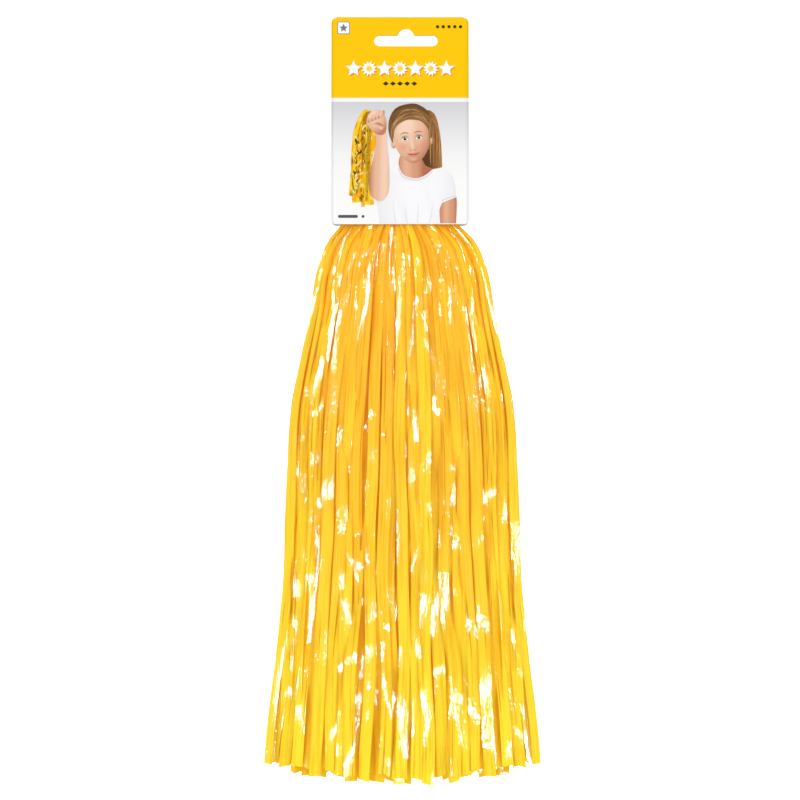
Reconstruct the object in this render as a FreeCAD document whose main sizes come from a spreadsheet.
"""Cheer pom pom: a hand loop with a skirt of film streamers, under a folded header card.

Frame: millimetres, +Z up, origin at the middle of the grip bar. +X runs along the grip bar and
-Y is the front. The pom hangs from the grip, and the card sits over the loop like a saddle.
The streamers are slit film, gathered in tresses. Each tress is one closed soft solid here.
"""

import FreeCAD, Part
import Sketcher
import math
import os
import re

from FreeCAD import Placement, Rotation, Vector

# Driving dimensions, in millimetres and degrees.
DIMENSIONS = {
    # hand loop: a flat moulded ring, with the grip bar on top and the streamer bar below
    "loop_width": 65.0,
    "loop_height": 42.0,
    "loop_depth": 4.4,
    "loop_corner": 15.0,
    "loop_foot_corner": 6.0,
    "loop_foot_inner": 3.0,
    "loop_edge_round": 1.7,
    "grip_bar": 9.0,
    "side_bar": 7.0,
    "streamer_bar": 9.0,
    # heading: the uncut film, folded over the streamer bar
    "heading_width": 44.0,
    "heading_depth": 8.0,
    "heading_bottom": -50.0,
    "heading_fit": 0.05,
    "heading_crown": 3.6,
    "tape_top": -43.0,
    "tape_wall": 0.3,
    "staple_wire": 0.5,
    "staple_crown": 10.0,
    "staple_clinch": 4.2,
    "staple_spread": 24.0,
    "staple_level": -40.2,
    # header card, folded along its top edge
    "card_width": 69.5,
    "card_height": 105.0,
    "card_top": 48.0,
    "card_wall": 0.45,
    "card_tilt": 3.2,
    "card_fold_gap": 0.1,
    "card_corner": 2.5,
    "slot_length": 32.0,
    "slot_height": 5.4,
    "slot_drop": 11.8,
    "slot_aside": 3.0,
    "peg_radius": 4.15,
    "peg_drop": 9.85,
    "pad_width": 22.0,
    "pad_height": 7.0,
    "pad_fit": 0.02,
    # streamer skirt: half widths and half depths at the mouth, shoulder, waist and hem
    "mouth_level": -58.3,
    "shoulder_level": -74.0,
    "waist_level": -146.0,
    "hem_level": -338.0,
    "mouth_half": 29.5,
    "shoulder_half": 41.5,
    "waist_half": 55.0,
    "hem_half": 69.0,
    "mouth_deep": 5.0,
    "shoulder_deep": 11.5,
    "waist_deep": 20.0,
    "hem_deep": 29.0,
    # inner streamers, which stay with the loop: half depths, and the neck above them
    "mouth_inner": 1.2,
    "shoulder_inner": 2.6,
    "waist_inner": 4.6,
    "hem_inner": 8.0,
    "neck_inset": 1.0,
    "neck_gap": 0.3,
    "link_height": 2.0,
    # free space beside each tress, at the mouth and everywhere below it, and behind each row
    "mouth_gap": 1.2,
    "tress_gap": 0.5,
    "row_gap": 0.5,
}

STATIONS = ("mouth", "shoulder", "waist", "hem")
ROW_COUNT = 7  # tresses in the front row, and in the back row
ROW_SHARE = 0.86  # the share of the half width that a row takes; the side tresses take the rest
CORE_SHARE = 0.83
SIDE_DEEP_SHARE = 0.47
PLAN_POWER = 2.4  # the skirt seen from above is a superellipse of this power

START_SIZE = 5.0  # the size that a sketch starts at, before its dimensions take hold
CLOSE = 1e-6  # how near two numbers are that count as equal
LEAST_CUT = 1e-3  # the volume that a cut has to take away, in cubic millimetres

doc = FreeCAD.newDocument("cheer_pom_pom")


def make_sheet():
    """The spreadsheet that every size is bound to."""
    sheet = doc.addObject("Spreadsheet::Sheet", "dims")
    sheet.Label = "dims"
    for row, (name, value) in enumerate(DIMENSIONS.items(), start=1):
        sheet.set(f"A{row}", name)
        sheet.set(f"B{row}", str(value))
        sheet.setAlias(f"B{row}", name)
    doc.recompute()
    return sheet


def cells(formula):
    """A formula in plain cell names, with each name written as a reference to the sheet."""
    return re.sub(r"[a-z_]+", r"dims.\g<0>", formula)


def size(name):
    """The number in a named cell."""
    return float(getattr(sheet, name))


def bind(thing, **formulas):
    """Binds properties of an object to formulas in plain cell names."""
    for name, formula in formulas.items():
        thing.setExpression(name, cells(formula))


def new_body(label):
    body = doc.addObject("PartDesign::Body", label)
    body.Label = label
    return body


def new_sketch(body, role, name):
    """A sketch on one of the body's own origin planes."""
    plane = next(f for f in body.Origin.OriginFeatures if f.Role == role)
    sketch = body.newObject("Sketcher::SketchObject", name)
    sketch.AttachmentSupport = [(plane, "")]
    sketch.MapMode = "FlatFace"
    return sketch


def dimension(sketch, kind, where, formula):
    """A sketch dimension bound to a formula, which replaces the size that the sketch starts at."""
    at = sketch.addConstraint(Sketcher.Constraint(kind, *where, START_SIZE))
    sketch.setExpression(f"Constraints[{at}]", cells(formula))


def draw_rectangle(sketch, left, right, low, high):
    """A rectangle whose four sides are formulas in plain cell names."""
    near, far = START_SIZE, 2 * START_SIZE
    corners = [Vector(near, near), Vector(far, near), Vector(far, far), Vector(near, far)]
    first = sketch.GeometryCount
    for a, b in zip(corners, corners[1:] + corners[:1]):
        sketch.addGeometry(Part.LineSegment(a, b))
    for i in range(4):
        sketch.addConstraint(Sketcher.Constraint("Coincident", first + i, 2, first + (i + 1) % 4, 1))
        kind = "Horizontal" if i % 2 == 0 else "Vertical"
        sketch.addConstraint(Sketcher.Constraint(kind, first + i))
    dimension(sketch, "DistanceX", (-1, 1, first, 1), left)
    dimension(sketch, "DistanceY", (-1, 1, first, 1), low)
    dimension(sketch, "DistanceX", (first, 1, first, 2), f"({right})-({left})")
    dimension(sketch, "DistanceY", (first + 1, 1, first + 1, 2), f"({high})-({low})")


def draw_circle(sketch, across, up, radius):
    """A circle whose centre and radius are formulas in plain cell names."""
    first = sketch.GeometryCount
    sketch.addGeometry(Part.Circle(Vector(START_SIZE, START_SIZE), Vector(0, 0, 1), START_SIZE))
    dimension(sketch, "DistanceX", (-1, 1, first, 3), across)
    dimension(sketch, "DistanceY", (-1, 1, first, 3), up)
    dimension(sketch, "Radius", (first,), radius)


def pad(body, sketch, length, middle=False, back=False):
    """Pads a sketch, and returns the feature."""
    feature = body.newObject("PartDesign::Pad", sketch.Name + "_pad")
    feature.Profile = sketch
    feature.SideType = "Symmetric" if middle else "One side"
    feature.Reversed = back
    bind(feature, Length=length)
    doc.recompute()
    return feature


def pocket(body, sketch):
    """Cuts a sketch right through, both ways, and checks that material went."""
    before = body.Shape.Volume
    feature = body.newObject("PartDesign::Pocket", sketch.Name + "_pocket")
    feature.Profile = sketch
    feature.Type = "ThroughAll"
    feature.SideType = "Symmetric"
    doc.recompute()
    if body.Shape.Volume > before - LEAST_CUT:
        raise RuntimeError(f"{feature.Name} cut nothing")
    return feature


def round_edges(body, feature, wanted, radius):
    """Fillets the edges of a feature that wanted() picks."""
    edges = [f"Edge{i}" for i, e in enumerate(feature.Shape.Edges, start=1) if wanted(e)]
    fillet = body.newObject("PartDesign::Fillet", feature.Name + "_round")
    fillet.Base = (feature, edges)
    bind(fillet, Radius=radius)
    doc.recompute()
    return fillet


def along(edge, axis):
    """Whether an edge is straight and runs along an axis."""
    if not isinstance(edge.Curve, Part.Line):
        return False
    return abs(abs(edge.Curve.Direction.dot(axis)) - 1) < CLOSE


def make_loop():
    """The hand loop: one flat moulding with rounded corners and soft edges."""
    body = new_body("handle_loop")
    top = "grip_bar/2"
    outline = new_sketch(body, "XZ_Plane", "loop_outline")
    draw_rectangle(outline, "-loop_width/2", "loop_width/2", f"{top}-loop_height", top)
    pad(body, outline, "loop_depth", middle=True)
    opening = new_sketch(body, "XZ_Plane", "loop_opening")
    low = f"{top}-loop_height+streamer_bar"
    draw_rectangle(opening, "side_bar-loop_width/2", "loop_width/2-side_bar", low, f"-{top}")
    feature = pocket(body, opening)
    inner_half = size("loop_width") / 2 - size("side_bar")
    middle = top_of_loop() - size("loop_height") / 2
    y_axis = Vector(0, 1, 0)

    def corner(edge, outer, upper):
        place = edge.CenterOfMass
        is_outer = abs(place.x) > inner_half + 1
        return along(edge, y_axis) and is_outer == outer and (place.z > middle) == upper

    for outer, upper, radius in (
        (True, True, "loop_corner"),
        (False, True, "loop_corner-side_bar"),
        (True, False, "loop_foot_corner"),
        (False, False, "loop_foot_inner"),
    ):
        feature = round_edges(body, feature, lambda e: corner(e, outer, upper), radius)
    face = size("loop_depth") / 2
    round_edges(body, feature, lambda e: abs(abs(e.CenterOfMass.y) - face) < CLOSE, "loop_edge_round")


def top_of_loop():
    return size("grip_bar") / 2


def top_of_bar():
    """The level of the streamer bar's upper side."""
    return top_of_loop() - size("loop_height") + size("streamer_bar")


def make_heading():
    """The uncut film heading: a thick fold over the streamer bar, with the bar's slot through it."""
    body = new_body("streamer_heading")
    bar_top = "grip_bar/2-loop_height+streamer_bar"
    crown = "(heading_depth-loop_depth)/2"
    outline = new_sketch(body, "YZ_Plane", "heading_profile")
    draw_rectangle(
        outline, "-heading_depth/2", "heading_depth/2", "heading_bottom", f"{bar_top}+{crown}"
    )
    fold = pad(body, outline, "heading_width", middle=True)
    slot = new_sketch(body, "YZ_Plane", "bar_slot")
    side = "loop_depth/2+heading_fit"
    draw_rectangle(
        slot, f"-({side})", side, "grip_bar/2-loop_height-heading_fit", f"{bar_top}+heading_fit"
    )
    fold = pocket(body, slot)
    top = top_of_bar() + (size("heading_depth") - size("loop_depth")) / 2
    x_axis = Vector(1, 0, 0)
    round_edges(
        body,
        fold,
        lambda e: along(e, x_axis) and abs(e.CenterOfMass.z - top) < CLOSE,
        "heading_crown",
    )


def make_tape():
    """Binding tape, once round the heading below the bar."""
    body = new_body("heading_tape")
    ring = new_sketch(body, "XY_Plane", "tape_ring")
    across, deep = "heading_width/2+heading_fit", "heading_depth/2+heading_fit"
    draw_rectangle(ring, f"-({across})-tape_wall", f"{across}+tape_wall",
                   f"-({deep})-tape_wall", f"{deep}+tape_wall")
    draw_rectangle(ring, f"-({across})", across, f"-({deep})", deep)
    pad(body, ring, "tape_top-heading_bottom")
    body.Placement = Placement(Vector(0, 0, size("heading_bottom")), Rotation())
    body.setExpression("Placement.Base.z", cells("heading_bottom"))


def make_wire(name, length, turn, x, y):
    """One straight run of a staple: a cylinder that starts at x, y on the staple's level."""
    wire = doc.addObject("Part::Cylinder", name)
    bind(wire, Radius="staple_wire/2", Height=length)
    wire.Placement = Placement(Vector(0, 0, 0), turn)
    wire.setExpression("Placement.Base.x", cells(x))
    wire.setExpression("Placement.Base.y", cells(y))
    wire.setExpression("Placement.Base.z", cells("staple_level"))
    return wire


def make_staples():
    """Two wire staples through the heading, with their crowns in front and their legs turned in."""
    to_x = Rotation(Vector(0, 1, 0), 90)
    to_back = Rotation(Vector(1, 0, 0), -90)
    face = "(heading_depth/2+staple_wire/2)"
    staples = []
    for side in (-1, 1):
        name = "staple_left" if side < 0 else "staple_right"
        middle = f"({side}*staple_spread/2)"
        left, right = f"{middle}-staple_crown/2", f"{middle}+staple_crown/2"
        runs = [
            make_wire(name + "_crown", "staple_crown", to_x, left, f"-{face}"),
            make_wire(name + "_leg_a", f"2*{face}", to_back, left, f"-{face}"),
            make_wire(name + "_leg_b", f"2*{face}", to_back, right, f"-{face}"),
            make_wire(name + "_clinch_a", "staple_clinch", to_x, left, face),
            make_wire(name + "_clinch_b", "staple_clinch", to_x, f"{right}-staple_clinch", face),
        ]
        staple = doc.addObject("Part::MultiFuse", name)
        staple.Shapes = runs + [make_bend(name, x, y) for x in (left, right) for y in (f"-{face}", face)]
        staples.append(staple)
    group = doc.addObject("Part::Compound", "heading_staples")
    group.Label = "heading_staples"
    group.Links = staples
    doc.recompute()


def make_bend(name, x, y):
    """The round of a staple's wire at one corner."""
    ball = doc.addObject("Part::Sphere", name + "_bend")
    bind(ball, Radius="staple_wire/2")
    ball.setExpression("Placement.Base.x", cells(x))
    ball.setExpression("Placement.Base.y", cells(y))
    ball.setExpression("Placement.Base.z", cells("staple_level"))
    return ball


def make_card_panel(label, front):
    """One half of the folded card, with the hanging slot. It leans out from the fold."""
    body = new_body(label)
    outline = new_sketch(body, "XZ_Plane", label + "_outline")
    draw_rectangle(outline, "-card_width/2", "card_width/2", "-card_height", "0*card_height")
    panel = pad(body, outline, "card_wall", back=not front)
    slot = new_sketch(body, "XZ_Plane", label + "_slot")
    end = "(slot_length-slot_height)/2"
    draw_rectangle(slot, f"slot_aside-{end}", f"slot_aside+{end}",
                   "-slot_drop-slot_height/2", "slot_height/2-slot_drop")
    panel = pocket(body, slot)
    for name, x in (("left", f"slot_aside-{end}"), ("right", f"slot_aside+{end}")):
        tip = new_sketch(body, "XZ_Plane", f"{label}_slot_{name}")
        draw_circle(tip, x, "-slot_drop", "slot_height/2")
        panel = pocket(body, tip)
    peg = new_sketch(body, "XZ_Plane", label + "_peg")
    draw_circle(peg, "slot_aside", "-peg_drop", "peg_radius")
    panel = pocket(body, peg)
    half = size("card_width") / 2
    y_axis = Vector(0, 1, 0)
    round_edges(
        body, panel, lambda e: along(e, y_axis) and abs(abs(e.CenterOfMass.x) - half) < CLOSE,
        "card_corner",
    )
    lean = 1 if front else -1
    turn = Rotation(Vector(1, 0, 0), -lean * size("card_tilt"))
    gap = -lean * size("card_fold_gap") / 2
    body.Placement = Placement(Vector(0, gap, size("card_top")), turn)


def make_pad(label, front):
    """A wedge of double-sided tape between the grip bar and one half of the card."""
    lean = math.tan(math.radians(size("card_tilt")))
    half_wide, half_high = size("pad_width") / 2, size("pad_height") / 2
    near = size("loop_depth") / 2 + size("pad_fit")
    far_top, far_low = (
        size("card_fold_gap") / 2 + (size("card_top") - level) * lean - size("pad_fit")
        for level in (half_high, -half_high)
    )
    side = -1 if front else 1
    corners = [(near, -half_high), (far_low, -half_high), (far_top, half_high), (near, half_high)]
    points = [Vector(-half_wide, side * y, z) for y, z in corners]
    face = Part.Face(Part.makePolygon(points + points[:1]))
    wedge = doc.addObject("Part::Feature", label)
    wedge.Label = label
    wedge.Shape = face.extrude(Vector(2 * half_wide, 0, 0))


def make_wedge(name, upper, lower, x_low, x_high, y_low, y_high):
    """A tapered block between two stations. Each side is a pair of formulas: upper, then lower."""
    wedge = doc.addObject("Part::Wedge", name)
    wedge.Placement = Placement(Vector(0, 0, 0), Rotation(Vector(1, 0, 0), 90))
    bind(
        wedge,
        Ymin=f"{lower}_level",
        Ymax=f"{upper}_level",
        Xmin=x_low[1],
        Xmax=x_high[1],
        X2min=x_low[0],
        X2max=x_high[0],
        Zmin=f"-({y_high[1]})",
        Zmax=f"-({y_low[1]})",
        Z2min=f"-({y_high[0]})",
        Z2max=f"-({y_low[0]})",
    )
    return wedge


def gap_at(station):
    return "mouth_gap" if station == "mouth" else "tress_gap"


def make_tress(label, sides):
    """A tress: three tapered blocks from the mouth to the hem, made one. sides(station) gives its
    lowest x, highest x, lowest y and highest y there."""
    blocks = []
    for upper, lower in zip(STATIONS, STATIONS[1:]):
        pairs = list(zip(sides(upper), sides(lower)))
        blocks.append(make_wedge(f"{label}_{lower}", upper, lower, *pairs))
    tress = doc.addObject("Part::MultiFuse", label)
    tress.Label = label
    tress.Shapes = blocks
    tress.Refine = True
    return tress


def plan_share(u):
    """How deep the skirt is at a share u of its half width, as a share of its depth there."""
    return round((1 - abs(u) ** PLAN_POWER) ** (1 / PLAN_POWER), 4)


def make_row(name, front):
    """A row of tresses across the front or the back."""
    step = 2 * ROW_SHARE / ROW_COUNT
    for i in range(ROW_COUNT):
        u_low = round(-ROW_SHARE + i * step, 5)
        u_high = round(u_low + step, 5)
        deep = plan_share((u_low + u_high) / 2)

        def sides(station, u_low=u_low, u_high=u_high, deep=deep):
            near = f"{station}_inner+row_gap"
            far = f"{station}_deep*{deep}"
            y_low, y_high = (f"-({far})", f"-({near})") if front else (near, far)
            gap = gap_at(station)
            return f"{station}_half*({u_low})+{gap}", f"{station}_half*({u_high})-{gap}", y_low, y_high

        make_tress(f"tress_{name}_{i + 1}", sides)


def make_side_tress(label, right):
    """The tress at one end of the skirt, between the two rows."""

    def sides(station):
        near = f"{station}_half*{ROW_SHARE}+{gap_at(station)}"
        far = f"{station}_half"
        deep = f"{station}_deep*{SIDE_DEEP_SHARE}"
        x_low, x_high = (near, far) if right else (f"-({far})", f"-({near})")
        return x_low, x_high, f"-({deep})", deep

    make_tress(label, sides)


def make_core():
    """The inner streamers: a neck below the heading, and a thin fan between the two rows."""

    def sides(station):
        half, deep = f"{station}_half*{CORE_SHARE}", f"{station}_inner"
        return f"-({half})", half, f"-({deep})", deep

    fan = make_tress("core_fan", sides)
    neck = doc.addObject("Part::Box", "core_neck")
    bind(
        neck,
        Length="2*(mouth_half-neck_inset)",
        Width="heading_depth",
        Height="heading_bottom-mouth_level-neck_gap",
    )
    neck.setExpression("Placement.Base.x", cells("neck_inset-mouth_half"))
    neck.setExpression("Placement.Base.y", cells("-heading_depth/2"))
    neck.setExpression("Placement.Base.z", cells("mouth_level+neck_gap"))
    link = doc.addObject("Part::Box", "core_link")
    bind(link, Length=f"2*mouth_half*{CORE_SHARE}", Width="2*mouth_inner", Height="link_height")
    link.setExpression("Placement.Base.x", cells(f"-mouth_half*{CORE_SHARE}"))
    link.setExpression("Placement.Base.y", cells("-mouth_inner"))
    link.setExpression("Placement.Base.z", cells("mouth_level-link_height/2"))
    core = doc.addObject("Part::MultiFuse", "streamer_core")
    core.Label = "streamer_core"
    core.Shapes = [neck, link, fan]
    core.Refine = True


def write_parts():
    """Checks every object, then writes each sub-part's shape as a STEP file."""
    doc.recompute()
    for thing in doc.Objects:
        if {"Invalid", "Error"} & set(thing.State):
            raise RuntimeError(f"{thing.Name} failed: {thing.State}")
    os.makedirs("parts", exist_ok=True)
    for label in node_labels():
        shape = doc.getObjectsByLabel(label)[0].Shape
        if shape.isNull() or not shape.isValid() or not shape.Solids:
            raise RuntimeError(f"{label} has no valid solid")
        shape.exportStep(os.path.join("parts", label + ".step"))
        print(f"{label}: {len(shape.Solids)} solid(s), {shape.Volume:.1f} mm3")


def node_labels():
    rows = [f"tress_{row}_{i + 1}" for row in ("front", "back") for i in range(ROW_COUNT)]
    return [
        "handle_loop",
        "streamer_heading",
        "heading_tape",
        "heading_staples",
        "header_card_front",
        "header_card_back",
        "tape_pad_front",
        "tape_pad_back",
        "streamer_core",
        "tress_left",
        "tress_right",
        *rows,
    ]


sheet = make_sheet()
make_loop()
make_heading()
make_tape()
make_staples()
make_card_panel("header_card_front", front=True)
make_card_panel("header_card_back", front=False)
make_pad("tape_pad_front", front=True)
make_pad("tape_pad_back", front=False)
make_core()
make_row("front", front=True)
make_row("back", front=False)
make_side_tress("tress_left", right=False)
make_side_tress("tress_right", right=True)
write_parts()
